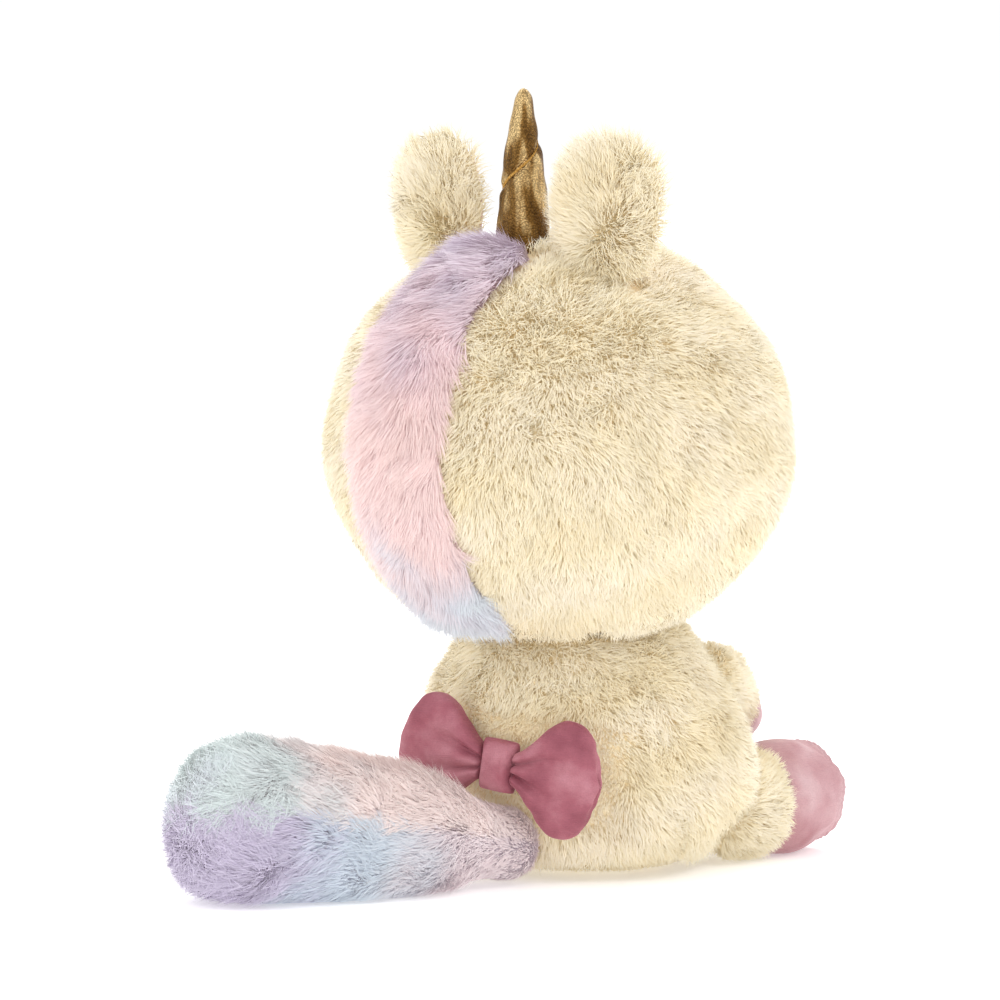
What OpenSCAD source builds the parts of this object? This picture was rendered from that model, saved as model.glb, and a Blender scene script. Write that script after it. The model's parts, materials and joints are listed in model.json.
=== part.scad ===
// Plush unicorn, sitting, as an assembly of separate sewn pieces.
// Millimetres. It faces -Y, its left side is +X, +Z is up.
// The origin is on the floor under the middle of the torso's base.

/* [Head] */
// Width of the head across its plush
head_w = 134; // [110:1:165]
// Height of the head from chin to crown
head_h = 120; // [98:1:146]
// Height of the head's centre above the floor
head_z = 124.5; // [110:0.5:150]
// How far the head's centre sits behind the base's middle
head_y = 18; // [12:0.5:22]
// How far the resting head is turned toward its right, in degrees
head_turn = 15; // [0:1:20]

/* [Plush] */
// Thickness of the short plush, backing and pile together
pile = 4; // [2.5:0.1:5]
// Extra height of the long pile on the mane
mane_rise = 4.5; // [2:0.1:7]
// Width of the mane's strip
mane_w = 25; // [21:1:29]
// Thickness of the velvet
velvet = 1.6; // [1:0.1:2.2]

/* [Torso] */
// Width of the torso at its widest
torso_w = 96; // [84:1:108]
// Width of the upper torso where it meets the head
neck_w = 80; // [70:1:90]
// Width of the base panel
base_w = 38; // [32:1:39]

/* [Legs] */
// Diameter of the hind legs
hind_d = 33; // [28:0.5:37]
// Length of a hind leg from the hip's centre to the sole
hind_len = 39; // [34:0.5:46]
// Length of the velvet on a hind leg
hind_hoof = 26; // [18:0.5:28]
// Diameter of the front legs
front_d = 20; // [16:0.5:22]
// Length of a front leg from the shoulder's centre to its tip
front_len = 49; // [42:0.5:52]

/* [Horn and ears] */
// Height of the horn above its root
horn_h = 44; // [36:0.5:54]
// Diameter of the horn at its root
horn_d = 16; // [13:0.5:19]
// Width of an ear at its widest
ear_w = 34; // [28:0.5:38]
// Height of an ear above its fold
ear_h = 37; // [31:0.5:41]
// Thickness of an ear
ear_t = 13; // [11:0.5:15]
// Distance between the middles of the ears
ear_span = 61; // [52:0.5:70]

/* [Tail] */
// Length of the tail from its root's centre to its tip
tail_len = 102; // [86:1:118]
// Thickness of the tail at its full end
tail_d = 41; // [34:0.5:43]
// Thickness of the tail near its root
tail_near_d = 31; // [26:0.5:33]
// How far the tail is swept toward its left, in degrees
tail_sweep = 36; // [30:1:42]

/* [Bow] */
// Width of the bow from end to end
bow_w = 65; // [54:1:72]
// Height of a loop at its outer end
bow_h = 31; // [26:0.5:34]
// Depth of a loop
bow_t = 8; // [6.5:0.5:10]
// Height of the knot's centre above the floor
bow_z = 34.5; // [32:0.1:39]

/* [Hidden] */
$fn = 64;

gap = 0.25;             // room between a fabric and its filling
room = 0.5;             // room between pieces that move against each other
seam = 0.12;            // half the slit along a seam
hr = head_w / 2;        // head's plan radius
hz = head_h / 2;        // head's vertical radius
fill = pile + gap;      // how far the filling lies inside the plush
neck_room = 1.3;        // room for the head to nod in its bowl
neck_r = 17;            // radius of the filling in the neck
nod = 7;                // how far the head nods either way

cream = "#ece2c8"; white = "#f2f0ea"; gold = "#c39a45"; rose = "#c27b88";
pink = "#ddb8bc"; pearl = "#d8cfe0"; mint = "#cfdddc"; lilac = "#c5b8cf"; dark = "#1d1a1c";

// ---- shared shapes ----
module egg(c, r) { translate(c) scale(r) sphere(1); }
module left_half() { translate([seam, -200, -200]) cube([400, 400, 600]); }
module strip(w) { translate([-w / 2, -200, -200]) cube([w, 400, 400]); }
module mirrored(left) { if (left) children(); else mirror([1, 0, 0]) children(); }

// Places its children in the head's own frame
module on_head() { translate([0, head_y, head_z]) rotate([0, 0, -head_turn]) children(); }

// ---- legs: plain capsules that start as a ball about their pivot ----
hip = [33, -25, hind_d / 2];
shoulder = [27, -25, 54];
hind_cut = hind_len - hind_hoof;
hoof_round = 4;         // rounding about a hind sole
front_cut = front_len - 20;

// Along +Z from the pivot: a ball, a tube and a rounded end
module hind_body(g = 0) {
  r = hind_d / 2 + g; e = hoof_round + g;
  sphere(r);
  cylinder(h = hind_len - hoof_round, r = r);
  translate([0, 0, hind_len - hoof_round]) rotate_extrude() {
    square([r - e, e]);
    intersection() { translate([r - e, 0]) circle(e); square([r, e]); }
  }
}
module front_body(g = 0) {
  r = front_d / 2 + g;
  sphere(r);
  cylinder(h = front_len - front_d / 2, r = r);
  translate([0, 0, front_len - front_d / 2]) sphere(r);
}
// Left side placements; the right side is their mirror image
module on_hip(a = 0) { translate(hip) rotate([0, 0, a]) rotate([90, 0, 10]) children(); }
module on_shoulder(a = 0) {
  translate(shoulder) rotate([-a, 0, 0]) rotate([0, 0, -18]) rotate([112.5, 0, 0]) children();
}
// The hollow a leg turns in: a ball about its pivot, and a cone that holds the leg's whole travel
module hip_room() {
  on_hip() sphere(hind_d / 2 + room + 0.2);
  on_hip(8) cylinder(h = hind_len, r1 = hind_d / 2 + room, r2 = hind_d / 2 + room + hind_len * 0.18);
}
module shoulder_room() {
  for (a = [0, 18]) on_shoulder(a) cylinder(h = front_len, r = front_d / 2 + room);
  on_shoulder() sphere(front_d / 2 + room + 0.3);
}

// ---- tail: a stuffed club on a short root, drawn along +Z from its pivot ----
tail_pivot = [0, 46, 11.5];
tail_root_r = 9.5;
tail_s1 = tail_len * 0.335;   // where the tail starts to swell
tail_split = 12;        // how far its two panels are turned about its axis
module on_tail(a = 0) {
  translate(tail_pivot) rotate([0, 0, a - tail_sweep]) rotate([-82.5, 0, 0]) children();
}
module tail_root(g = 0) { sphere(tail_root_r + g); cylinder(h = tail_s1, r = tail_root_r + g); }
module tail_body(g = 0) {
  r1 = tail_near_d / 2 + g; r2 = tail_d / 2 + g;
  s2 = tail_len - tail_d / 2;
  lean = (r2 - r1) / (s2 - tail_s1);
  tail_root(g);
  translate([0, 0, tail_s1]) sphere(r1);
  translate([0, 0, tail_s1 - 1]) cylinder(h = s2 - tail_s1 + 0.5, r1 = r1 - lean, r2 = r2 - lean / 2);
  translate([0, 0, s2]) sphere(r2);
}

// ---- bow: two padded loops and a knot, tilted about its tack ----
bow_y = torso_w / 2 + bow_t / 2 + 0.6;
knot_w = 13;
loop_l = (bow_w - knot_w) / 2;
module on_bow() { translate([0, bow_y, bow_z]) rotate([0, -8, 0]) children(); }
module bow_loop(g = 0) {
  intersection() {
    translate([knot_w / 2 + loop_l * 0.56, 0, 0])
      scale([loop_l * 0.56 + g, bow_t / 2 + g, bow_h / 2 + g]) sphere(1);
    translate([knot_w / 2 - 0.5 - g, -50, -50]) cube([100, 100, 100]);
  }
}
module bow_knot_body(g = 0) { scale([knot_w / 2 + g - 0.3, bow_t / 2 + 0.3 + g, 8.2 + g]) sphere(1); }

// ---- torso ----
low_z = 28;             // height of the round lower torso's centre
top_c = [0, 9, 48];
edge_r = 28;            // rounding below the widest part
edge_x = torso_w / 2 - edge_r;
module torso_solid(g = 0) {
  rotate_extrude() intersection() {
    union() {
      difference() {
        translate([0, low_z]) circle(torso_w / 2 + g);
        translate([-200, -200]) square([400, 200 + low_z]);
      }
      intersection() {
        translate([edge_x, edge_r]) circle(edge_r + g);
        translate([0, -50]) square([200, 50 + low_z]);
      }
      translate([0, -g]) square([edge_x + 0.01, edge_r + g]);
    }
    translate([0, -50]) square([200, 300]);
  }
  translate(top_c) sphere(neck_w / 2 + g);
}
// Everything that moves beside the torso, grown by the room it needs
module torso_room(tail_left = true, g = room) {
  egg([0, head_y, head_z], [hr + neck_room, hr + neck_room, hz + neck_room]);
  for (left = [true, false]) mirrored(left) { hip_room(); shoulder_room(); }
  mirrored(tail_left) {
    on_tail() sphere(tail_root_r + g + 0.3);
    on_tail(12.5) translate([0, 0, 8]) sphere(tail_root_r + g + 2.6);
  }
  translate([0, bow_y, bow_z]) rotate([90, 0, 0]) cylinder(h = 24, r = 1 + 0.3);
  translate([0, head_y, head_z - 75.4]) cylinder(h = 60, r = neck_r + 0.4);
}
module torso_shell(tail_left = true) {
  difference() {
    torso_solid();
    torso_solid(-pile);
    torso_room(tail_left);
    translate([0, 0, -1]) cylinder(h = pile + 2, r = base_w / 2 + 0.2);
    neck_seam_ring(0.2);
  }
}
belly_y = -14;
module behind_belly() { translate([-200, belly_y + seam, -10]) cube([400, 400, 400]); }
module belly_side() { translate([-200, belly_y - seam - 400, -10]) cube([400, 400, 400]); }
module neck_seam_ring(g = 0) {
  translate([0, head_y - 6, head_z - hz + 1.5]) rotate_extrude() translate([30, 0]) circle(0.9 + g);
}

module torso_back_left() {
  color(cream) intersection() { torso_shell(); left_half(); behind_belly(); }
}
module torso_back_right() {
  color(cream) mirrored(false) intersection() { torso_shell(false); left_half(); behind_belly(); }
}
module torso_belly() { color(cream) intersection() { torso_shell(); belly_side(); } }
module torso_base() { color(cream) cylinder(h = pile - gap, r = base_w / 2); }
module torso_stuffing() {
  color(white) difference() {
    torso_solid(-fill);
    torso_room();
    bean_shape(gap);
    neck_seam_ring(0.2);
  }
}
bean_z = 15; bean_flat = 11; bean_edge = 9;   // height, flat radius and rounding of the pouch
module bean_shape(g = 0) {
  translate([0, 0, bean_z]) rotate_extrude() {
    translate([bean_flat, 0]) circle(bean_edge + g);
    translate([0, -bean_edge - g]) square([bean_flat, 2 * (bean_edge + g)]);
  }
}

module bean_bag() { color(pearl) bean_shape(); }
module neck_seam() { color(white) neck_seam_ring(); }
module neck_stuffing() {
  color(white) translate([0, head_y, head_z]) difference() {
    translate([0, 0, -75]) cylinder(h = 45, r = neck_r);
    sphere(45);
  }
}

// ---- head, drawn in its own frame ----
muzzle_c = [0, -50, -20];
muzzle_r = [25, 27, 19];
eye_x = 29; eye_z = -3;
eye_yaw = asin(eye_x / hr);
eye_out = hr * sqrt(1 - pow(eye_z / hz, 2));

module head_solid(g = 0) { scale([hr + g, hr + g, hz + g]) sphere(1); }
module muzzle_solid(g = 0) { egg(muzzle_c, [muzzle_r[0] + g, muzzle_r[1] + g, muzzle_r[2] + g]); }
module on_eye(left) {
  rotate([0, 0, left ? eye_yaw : -eye_yaw]) translate([0, 0, eye_z]) rotate([90, 0, 0]) children();
}
module eye_room(left) {
  on_eye(left) {
    translate([0, 0, eye_out - 2.6]) cylinder(h = 12, r = 6.9);
    translate([0, 0, eye_out - 16]) cylinder(h = 20, r = 1.9);
    translate([0, 0, eye_out - 6.2]) cylinder(h = 1.9, r = 6.4);
  }
}
ear_base_z = hz * sqrt(1 - (pow(ear_span / 2, 2) + 13 * 13) / (hr * hr)) - 2.5;
module on_ear(left, a = 0) {
  mirrored(left) translate([ear_span / 2, 13, ear_base_z]) rotate([a, 0, 0]) rotate([0, 7, -6]) children();
}
module ear_solid(g = 0) {
  egg([0, 0, ear_h - 16], [ear_w / 2 + g, ear_t / 2 + g, 16 + g]);
  egg([0, 0, 9], [ear_w * 0.36 + g, ear_t / 2 - 0.2 + g, 14.5 + g]);
}
// The groove an ear folds in
module ear_room(left) {
  on_ear(left) {
    translate([-ear_w * 0.4, 0, 0]) rotate([0, 90, 0]) cylinder(h = ear_w * 0.8, r = ear_t / 2 + room);
    translate([-ear_w * 0.4, -ear_t / 2 - 2.6, 0]) cube([ear_w * 0.8, ear_t + 5.2, 18]);
  }
}

horn_y = 14.5;
horn_z = hz * sqrt(1 - pow(horn_y / hr, 2)) - 3;
horn_tip = 2.4;
module on_horn(a = 0) { translate([0, horn_y, horn_z]) rotate([a, 0, 0]) children(); }
module horn_solid(g = 0) {
  r = horn_d / 2 + g;
  sphere(r);
  cylinder(h = horn_h - horn_tip, r1 = r, r2 = horn_tip + g);
  translate([0, 0, horn_h - horn_tip]) sphere(horn_tip + g);
}
module horn_room() {
  on_horn() {
    sphere(horn_d / 2 + room + 0.2);
    cylinder(h = 14, r1 = horn_d / 2 + room + 0.2, r2 = horn_d / 2 + room + 2.2);
  }
}

module head_room() {
  ear_room(true);
  ear_room(false);
  horn_room();
  eye_room(true);
  eye_room(false);
}
module head_shell() {
  difference() {
    head_solid();
    head_solid(-pile);
    muzzle_solid(gap);
    head_room();
    translate([0, 0, -100]) cylinder(h = 60, r = 28);
  }
}
nape_z = -0.7 * hz;     // where the mane ends above the neck
mane_y = horn_y + horn_d / 2 + 2.5;
// Cuts for the strip between the side panels: it is mane behind the horn, gusset before it
module mane_zone(w) {
  intersection() { strip(w); translate([-100, mane_y, nape_z]) cube([200, 200, 200]); }
}
module head_side(left) {
  color(cream) on_head() mirrored(left) intersection() {
    head_shell();
    union() {
      translate([mane_w / 2 + seam, -200, -200]) cube([200, 400, 400]);
      translate([seam, 0, -200]) cube([200, 200, 200 + nape_z - 0.2]);
    }
  }
}
module head_side_left() { head_side(true); }
module head_side_right() { head_side(false); }
module head_gusset() {
  color(cream) on_head() intersection() {
    head_shell();
    translate([-mane_w / 2, mane_y - 0.2 - 200, muzzle_c[2]]) cube([mane_w, 200, 200]);
  }
}
module chin_panel() {
  color(cream) on_head() intersection() {
    head_shell();
    translate([-mane_w / 2, -200 - 0.2, muzzle_c[2] - 200]) cube([mane_w, 200, 200 - 1]);
  }
}
module mane() {
  color(pearl) on_head() difference() {
    intersection() { head_solid(mane_rise); mane_zone(mane_w - 0.2); }
    head_solid(-pile);
    head_room();
  }
}
module muzzle() {
  color(cream) on_head() difference() {
    muzzle_solid();
    muzzle_solid(-pile);
    head_solid(-pile);
    face_marks(0.12);
    head_room();
  }
}
module head_stuffing() {
  color(white) on_head() difference() {
    union() { head_solid(-fill); muzzle_solid(-fill); }
    head_room();
    difference() {
      for (a = [-nod, 0, nod]) rotate([a, 0, 0]) translate([0, 0, -90]) cylinder(h = 70, r = neck_r + 0.4);
      sphere(44.6);
    }
  }
}
module eye(left) {
  color(dark) on_head() on_eye(left) {
    translate([0, 0, eye_out - 2.4]) intersection() {
      translate([0, 0, -2.5]) sphere(7);
      cylinder(h = 10, r = 7);
    }
    translate([0, 0, eye_out - 14]) cylinder(h = 12, r = 1.6);
  }
}
module eye_washer(left) {
  color(white) on_head() on_eye(left) translate([0, 0, eye_out - 6])
    difference() { cylinder(h = 1.4, r = 6); translate([0, 0, -1]) cylinder(h = 4, r = 1.75); }
}
module eye_left() { eye(true); }
module eye_right() { eye(false); }
module eye_washer_left() { eye_washer(true); }
module eye_washer_right() { eye_washer(false); }

// A nostril lies on the muzzle's front at height z and distance x from the middle
function muzzle_front(x, z) = muzzle_c[1] - muzzle_r[1]
  * sqrt(1 - pow(x / muzzle_r[0], 2) - pow((z - muzzle_c[2]) / muzzle_r[2], 2));
module nostril_shape(left, g = 0) {
  egg([left ? 8 : -8, muzzle_front(8, -16), -16], [2.2 + g, 0.9 + g, 1.6 + g]);
}
module mouth_shape(g = 0) {
  translate([0, muzzle_front(0, -25) + 0.2, -18]) rotate([90, 0, 0])
    rotate([0, 0, 215]) rotate_extrude(angle = 110) translate([7, 0]) circle(0.8 + g);
}
module face_marks(g) { nostril_shape(true, g); nostril_shape(false, g); mouth_shape(g); }
module nostril_left() { color(rose) on_head() nostril_shape(true); }
module nostril_right() { color(rose) on_head() nostril_shape(false); }
module mouth() { color(rose) on_head() mouth_shape(); }

// ---- ears ----
module ear_back(left) {
  color(cream) on_head() on_ear(left) difference() {
    intersection() { ear_solid(); translate([-50, seam, -50]) cube([100, 50, 150]); }
    ear_solid(-3);
  }
}
module ear_lining(left) {
  color(pink) on_head() on_ear(left) difference() {
    intersection() { ear_solid(); translate([-50, -50 - seam, -50]) cube([100, 50, 150]); }
    ear_solid(-velvet);
  }
}
module ear_filling(left) {
  color(white) on_head() on_ear(left) ear_solid(-3 - gap);
}
module ear_left_back() { ear_back(true); }
module ear_left_lining() { ear_lining(true); }
module ear_left_filling() { ear_filling(true); }
module ear_right_back() { ear_back(false); }
module ear_right_lining() { ear_lining(false); }
module ear_right_filling() { ear_filling(false); }

// ---- horn ----
module horn_cover() { color(gold) on_head() on_horn() difference() { horn_solid(); horn_solid(-0.9); } }
module horn_stuffing() { color(white) on_head() on_horn() horn_solid(-1.1); }
// The thread winds round the cone and narrows with it
thread_from = 4; thread_to = 38;
thread_pitch = 26.4;    // rise of the thread in one turn
thread_zero = 12.6;     // height at which the thread crosses the X axis
function cone_r(z) = horn_d / 2 - (horn_d / 2 - horn_tip) * z / (horn_h - horn_tip);
module horn_thread() {
  r0 = cone_r(thread_from) + 0.55;
  r1 = cone_r(thread_to) + 0.55;
  turns = (thread_to - thread_from) / thread_pitch;
  color(gold) on_head() on_horn() translate([0, 0, thread_from])
    rotate([0, 0, 360 * (thread_from - thread_zero) / thread_pitch])
      linear_extrude(height = thread_to - thread_from, twist = -360 * turns, scale = r1 / r0,
                     slices = 50, $fn = 12)
        translate([r0, 0]) circle(0.42, $fn = 6);
}

// ---- tail ----
module tail_panel(up) {
  on_tail() difference() {
    intersection() {
      tail_body();
      rotate([0, 0, tail_split]) translate([-100, up ? -100 - seam : seam, -50]) cube([200, 100, 200]);
    }
    tail_body(-pile);
  }
}
module tail_upper() { color(mint) tail_panel(true); }
module tail_lower() { color(lilac) tail_panel(false); }
module tail_stuffing() { color(white) on_tail() tail_body(-fill); }

// ---- bow ----
module bow_cover(left) {
  color(rose) on_bow() mirrored(left) difference() {
    bow_loop();
    bow_loop(-velvet);
    bow_knot_body(0.15);
  }
}
module bow_filling(left) {
  color(white) on_bow() mirrored(left) difference() { bow_loop(-velvet - gap); bow_knot_body(0.3); }
}
module bow_left_cover() { bow_cover(true); }
module bow_left_filling() { bow_filling(true); }
module bow_right_cover() { bow_cover(false); }
module bow_right_filling() { bow_filling(false); }
module bow_knot() {
  color(rose) on_bow() difference() {
    bow_knot_body();
    rotate([90, 0, 0]) cylinder(h = 20, r = 1.15);
  }
}
module bow_tack() {
  color(rose) translate([0, bow_y - 0.4, bow_z]) rotate([90, 0, 0]) cylinder(h = 20, r = 1);
}

// ---- hind legs ----
// The stretch of a leg between two distances from its pivot
module leg_part(from, to) {
  intersection() { children(); translate([-50, -50, from]) cube([100, 100, to - from]); }
}
module hind_sleeve(left) {
  color(cream) mirrored(left) on_hip() leg_part(-50, hind_cut - seam)
    difference() { hind_body(); hind_body(-pile + 1); }
}
module hind_hoof_cover(left) {
  color(pink) mirrored(left) on_hip() leg_part(hind_cut + seam, hind_len - 3)
    difference() { hind_body(); hind_body(-velvet); }
}
module hind_sole(left) {
  color(pink) mirrored(left) on_hip() leg_part(hind_len - 3 + seam, 100)
    difference() {
      hind_body();
      translate([0, 0, -40]) cylinder(h = hind_len - velvet + 40, r = hind_d / 2 - 4.5);
    }
}
module hind_filling(left) {
  color(white) mirrored(left) on_hip() {
    leg_part(-50, hind_cut) hind_body(-pile + 1 - gap);
    leg_part(hind_cut - 0.01, hind_len - 3 - gap) cylinder(h = hind_len, r = hind_d / 2 - pile + 1 - gap);
  }
}
module hind_left_sleeve() { hind_sleeve(true); }
module hind_left_hoof() { hind_hoof_cover(true); }
module hind_left_sole() { hind_sole(true); }
module hind_left_stuffing() { hind_filling(true); }
module hind_right_sleeve() { hind_sleeve(false); }
module hind_right_hoof() { hind_hoof_cover(false); }
module hind_right_sole() { hind_sole(false); }
module hind_right_stuffing() { hind_filling(false); }

// ---- front legs ----
module front_sleeve(left) {
  color(cream) mirrored(left) on_shoulder() leg_part(-50, front_cut - seam)
    difference() { front_body(); front_body(-pile + 1); }
}
module front_hoof(left) {
  color(pink) mirrored(left) on_shoulder() leg_part(front_cut + seam, 100)
    difference() { front_body(); front_body(-velvet); }
}
module front_filling(left) { color(white) mirrored(left) on_shoulder() front_body(-pile + 1 - gap); }
module front_left_sleeve() { front_sleeve(true); }
module front_left_hoof() { front_hoof(true); }
module front_left_stuffing() { front_filling(true); }
module front_right_sleeve() { front_sleeve(false); }
module front_right_hoof() { front_hoof(false); }
module front_right_stuffing() { front_filling(false); }

torso_back_left();
torso_back_right();
torso_belly();
torso_base();
torso_stuffing();
bean_bag();
neck_seam();
neck_stuffing();
head_side_left();
head_side_right();
head_gusset();
chin_panel();
mane();
muzzle();
head_stuffing();
eye_left();
eye_right();
eye_washer_left();
eye_washer_right();
nostril_left();
nostril_right();
mouth();
ear_left_back();
ear_left_lining();
ear_left_filling();
ear_right_back();
ear_right_lining();
ear_right_filling();
horn_cover();
horn_stuffing();
horn_thread();
tail_upper();
tail_lower();
tail_stuffing();
bow_left_cover();
bow_left_filling();
bow_right_cover();
bow_right_filling();
bow_knot();
bow_tack();
hind_left_sleeve();
hind_left_hoof();
hind_left_sole();
hind_left_stuffing();
hind_right_sleeve();
hind_right_hoof();
hind_right_sole();
hind_right_stuffing();
front_left_sleeve();
front_left_hoof();
front_left_stuffing();
front_right_sleeve();
front_right_hoof();
front_right_stuffing();
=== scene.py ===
"""Looks of the sitting plush unicorn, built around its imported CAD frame.

Shapes are worked out in millimetres, each in the frame of the CAD part that it covers, and turned into
metres when a mesh is made. Every stuffed part is a smooth cover, and its pile is real geometry: flat tapered
blades that grow out of the cover, lean with the nap and gather in tufts.
"""

import json
import math

import bpy
import numpy as np
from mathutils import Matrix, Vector


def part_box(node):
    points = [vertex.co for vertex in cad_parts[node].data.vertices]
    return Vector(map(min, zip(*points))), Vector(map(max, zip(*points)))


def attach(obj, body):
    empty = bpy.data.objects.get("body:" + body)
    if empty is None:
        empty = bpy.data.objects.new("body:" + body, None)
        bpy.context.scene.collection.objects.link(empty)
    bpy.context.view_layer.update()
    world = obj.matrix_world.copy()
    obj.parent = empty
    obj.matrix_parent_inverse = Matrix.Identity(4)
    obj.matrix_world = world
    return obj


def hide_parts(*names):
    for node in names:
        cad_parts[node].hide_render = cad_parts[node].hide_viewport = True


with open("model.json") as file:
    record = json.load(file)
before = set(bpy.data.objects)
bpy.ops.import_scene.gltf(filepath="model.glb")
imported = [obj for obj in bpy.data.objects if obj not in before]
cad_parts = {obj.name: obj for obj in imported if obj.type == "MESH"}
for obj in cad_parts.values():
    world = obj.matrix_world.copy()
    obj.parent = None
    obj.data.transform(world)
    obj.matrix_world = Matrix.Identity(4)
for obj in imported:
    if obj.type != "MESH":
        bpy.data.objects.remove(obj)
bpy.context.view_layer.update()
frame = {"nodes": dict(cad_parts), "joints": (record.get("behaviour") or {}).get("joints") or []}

MM = 0.001
PILE_SHARE = 1.0
FLOOR_CLEAR = 0.25
PILE_UV = "OFBake"
LEVELS = 4
GLOW = 0.1
joints = {j["name"]: j for j in frame["joints"]}


# ---------------------------------------------------------------- places
def spin(axis, degrees):
    """Rotation matrix about x, y or z."""
    c, s = math.cos(math.radians(degrees)), math.sin(math.radians(degrees))
    i = "xyz".index(axis)
    j, k = (i + 1) % 3, (i + 2) % 3
    m = np.eye(3)
    m[j, j], m[k, k], m[j, k], m[k, j] = c, c, -s, s
    return m


class Place:
    """A local frame in millimetres; side -1 mirrors it across the middle plane of its parent."""

    def __init__(self, origin, turn, side=1, parent=None):
        mirror = np.diag([side, 1.0, 1.0])
        self.turn = mirror @ turn
        self.origin = np.array(origin, float)
        if parent is not None:
            self.turn = parent.turn @ self.turn
        self.flipped = np.linalg.det(self.turn) < 0

    def out(self, p):
        return p @ self.turn.T + self.origin

    def into(self, p):
        return (p - self.origin) @ self.turn

    def along(self, d):
        return np.asarray(d, float) @ self.turn.T


def pivot(joint):
    return np.array(joints[joint]["pos_m"]) / MM


def corner(node, high):
    return np.array(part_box(node)[1 if high else 0]) / MM


head_x = np.array(joints["neck_nod"]["axis"], float)
HEAD = Place(pivot("neck_nod"), np.column_stack([head_x, np.cross([0, 0, 1], head_x), [0, 0, 1]]))
HORN = Place(pivot("horn_tilt"), np.eye(3), parent=HEAD)
EARS = {
    side: Place(pivot(f"ear_{name}_fold"), spin("z", -6) @ spin("y", 7), side, HEAD)
    for name, side in (("left", 1), ("right", -1))
}
TAIL = Place(pivot("tail_swing"), spin("z", -36) @ spin("x", -82.5))
BOW = Place(pivot("bow_twist"), spin("y", -8))
WORLD = Place([0, 0, 0], np.eye(3))
HIPS = {
    side: Place(pivot(f"hind_leg_{name}_spread"), spin("z", 10) @ spin("x", 90), side)
    for name, side in (("left", 1), ("right", -1))
}
SHOULDERS = {
    side: Place(pivot(f"front_leg_{name}_raise"), spin("z", -18) @ spin("x", 112.5), side)
    for name, side in (("left", 1), ("right", -1))
}
SIDES = (("left", 1), ("right", -1))

# Outer sizes of the CAD, and how far inside them the backing cloth lies
HEAD_R = corner("head_side_left", True)[0]
HEAD_H = corner("head_gusset", True)[2] - HEAD.origin[2]
BACKING = 3.4
HEAD_SKIN = np.array([HEAD_R - BACKING, HEAD_R - BACKING, HEAD_H - BACKING])


# ---------------------------------------------------------------- numbers
def unit(v):
    return v / np.maximum(np.linalg.norm(v, axis=-1, keepdims=True), 1e-9)


def smooth(x, low, high):
    t = np.clip((x - low) / (high - low), 0, 1)
    return t * t * (3 - 2 * t)


def waves(p, size, seed, count=9):
    """Smooth noise of about unit strength, from plane waves about `size` mm long."""
    r = np.random.default_rng(seed)
    k = unit(r.normal(size=(count, 3))) * (2 * math.pi / size) * r.uniform(0.7, 1.4, (count, 1))
    phase = r.uniform(0, 2 * math.pi, count)
    return np.sin(p @ k.T + phase).sum(axis=-1) / math.sqrt(count / 2)


def scramble(cells, seed):
    """Three pseudo-random numbers from 0 to 1 for each whole-number cell."""
    c = cells.astype(np.int64)
    h = (c[:, 0] * 73856093) ^ (c[:, 1] * 19349663) ^ (c[:, 2] * 83492791) ^ (seed * 2654435761)
    out = []
    for step in (1, 2, 3):
        h = (h ^ (h >> 13)) * 1274126177 + step * 668265263
        h = h & 0xFFFFFFFF
        out.append(((h ^ (h >> 16)) & 0xFFFF) / 65535.0)
    return np.column_stack(out)


def tufts(p, size, seed):
    """The nearest tuft centre to each point, and a number from 0 to 1 that belongs to that tuft."""
    base = np.floor(p / size)
    best, centre, own = np.full(len(p), 1e9), np.zeros_like(p), np.zeros(len(p))
    for dx in (-1, 0, 1):
        for dy in (-1, 0, 1):
            for dz in (-1, 0, 1):
                cell = base + (dx, dy, dz)
                h = scramble(cell, seed)
                q = (cell + h) * size
                d = ((p - q) ** 2).sum(axis=1)
                near = d < best
                best[near], centre[near], own[near] = d[near], q[near], h[near, 0]
    return centre, (own * 7.31) % 1.0


# ---------------------------------------------------------------- meshes
def add_mesh(name, verts, faces, place, material):
    """A smooth mesh piece from local millimetres."""
    faces = [tuple(reversed(f)) for f in faces] if place.flipped else faces
    me = bpy.data.meshes.new(name)
    me.from_pydata((place.out(np.asarray(verts, float)) * MM).tolist(), [], faces)
    me.polygons.foreach_set("use_smooth", [True] * len(me.polygons))
    me.update()
    me.materials.append(material)
    obj = bpy.data.objects.new(name, me)
    bpy.context.scene.collection.objects.link(obj)
    return obj


def loft(rows, close_start=True, close_end=True):
    """Verts and faces of a tube through rows of points; a closed end shrinks to one point."""
    rows = np.asarray(rows, float)
    n, m = rows.shape[:2]
    verts, faces = [], []
    first, last = (1 if close_start else 0), (n - 1 if close_end else n)
    verts = rows[first:last].reshape(-1, 3).tolist()
    for i in range(last - first - 1):
        a = i * m
        for j in range(m):
            k = (j + 1) % m
            faces.append((a + j, a + k, a + m + k, a + m + j))
    if close_start:
        verts.append(rows[0].mean(axis=0).tolist())
        faces += [(len(verts) - 1, (j + 1) % m, j) for j in range(m)]
    if close_end:
        verts.append(rows[-1].mean(axis=0).tolist())
        a = (last - first - 1) * m
        faces += [(len(verts) - 1, a + j, a + (j + 1) % m) for j in range(m)]
    return verts, faces


def sheet_grid(points):
    """Verts and faces of an open grid of points."""
    n, m = points.shape[:2]
    faces = [
        (i * m + j, i * m + j + 1, (i + 1) * m + j + 1, (i + 1) * m + j)
        for i in range(n - 1)
        for j in range(m - 1)
    ]
    return points.reshape(-1, 3).tolist(), faces


def ring(radius_x, radius_y, m):
    a = np.linspace(0, 2 * math.pi, m, endpoint=False)
    return np.column_stack([radius_x * np.cos(a), radius_y * np.sin(a)])


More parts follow.
